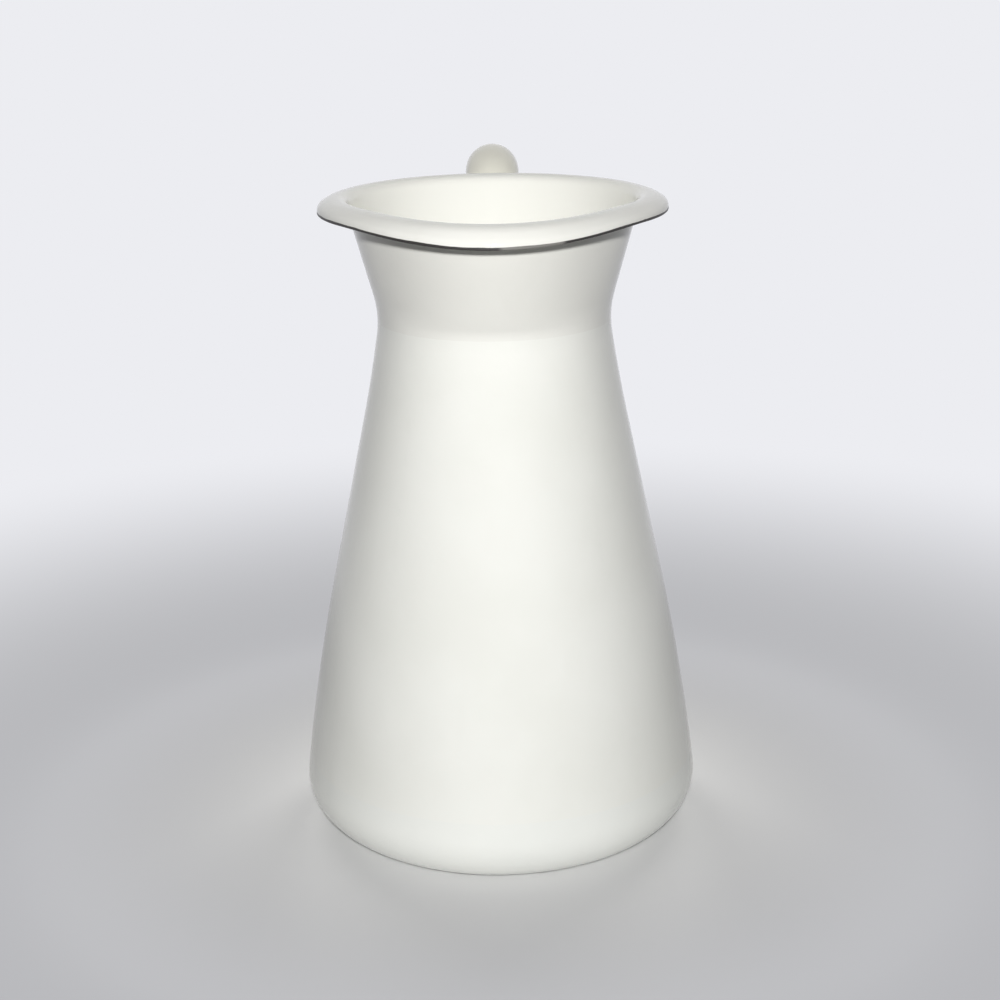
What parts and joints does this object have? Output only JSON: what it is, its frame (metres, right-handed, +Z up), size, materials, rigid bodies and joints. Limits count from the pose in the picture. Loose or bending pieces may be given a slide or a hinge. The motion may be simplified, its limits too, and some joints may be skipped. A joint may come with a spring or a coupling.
{
  "type": "enamel pitcher",
  "caption": "Enamelled steel pitcher with a conical body, a narrow waist, a flared neck whose turned lip is drawn into a wide pouring lip, and a hollow ear-shaped handle.",
  "frame": {"origin": "centre of the flat underside of the base, on the body's axis", "axes": "+Z up along the body's axis, -Y towards the pouring lip, +Y towards the handle"},
  "size_m": [0.1384, 0.1841, 0.2263],
  "materials": {
    "base_enamel": "gloss",
    "body_enamel": "gloss",
    "neck_enamel": "gloss",
    "handle_enamel": "gloss"
  },
  "bodies": {
    "root": {"base_pan": "base_enamel", "body_wall": "body_enamel", "neck_and_lip": "neck_enamel", "handle_left_half": "handle_enamel", "handle_right_half": "handle_enamel"}
  },
  "joints": []
}
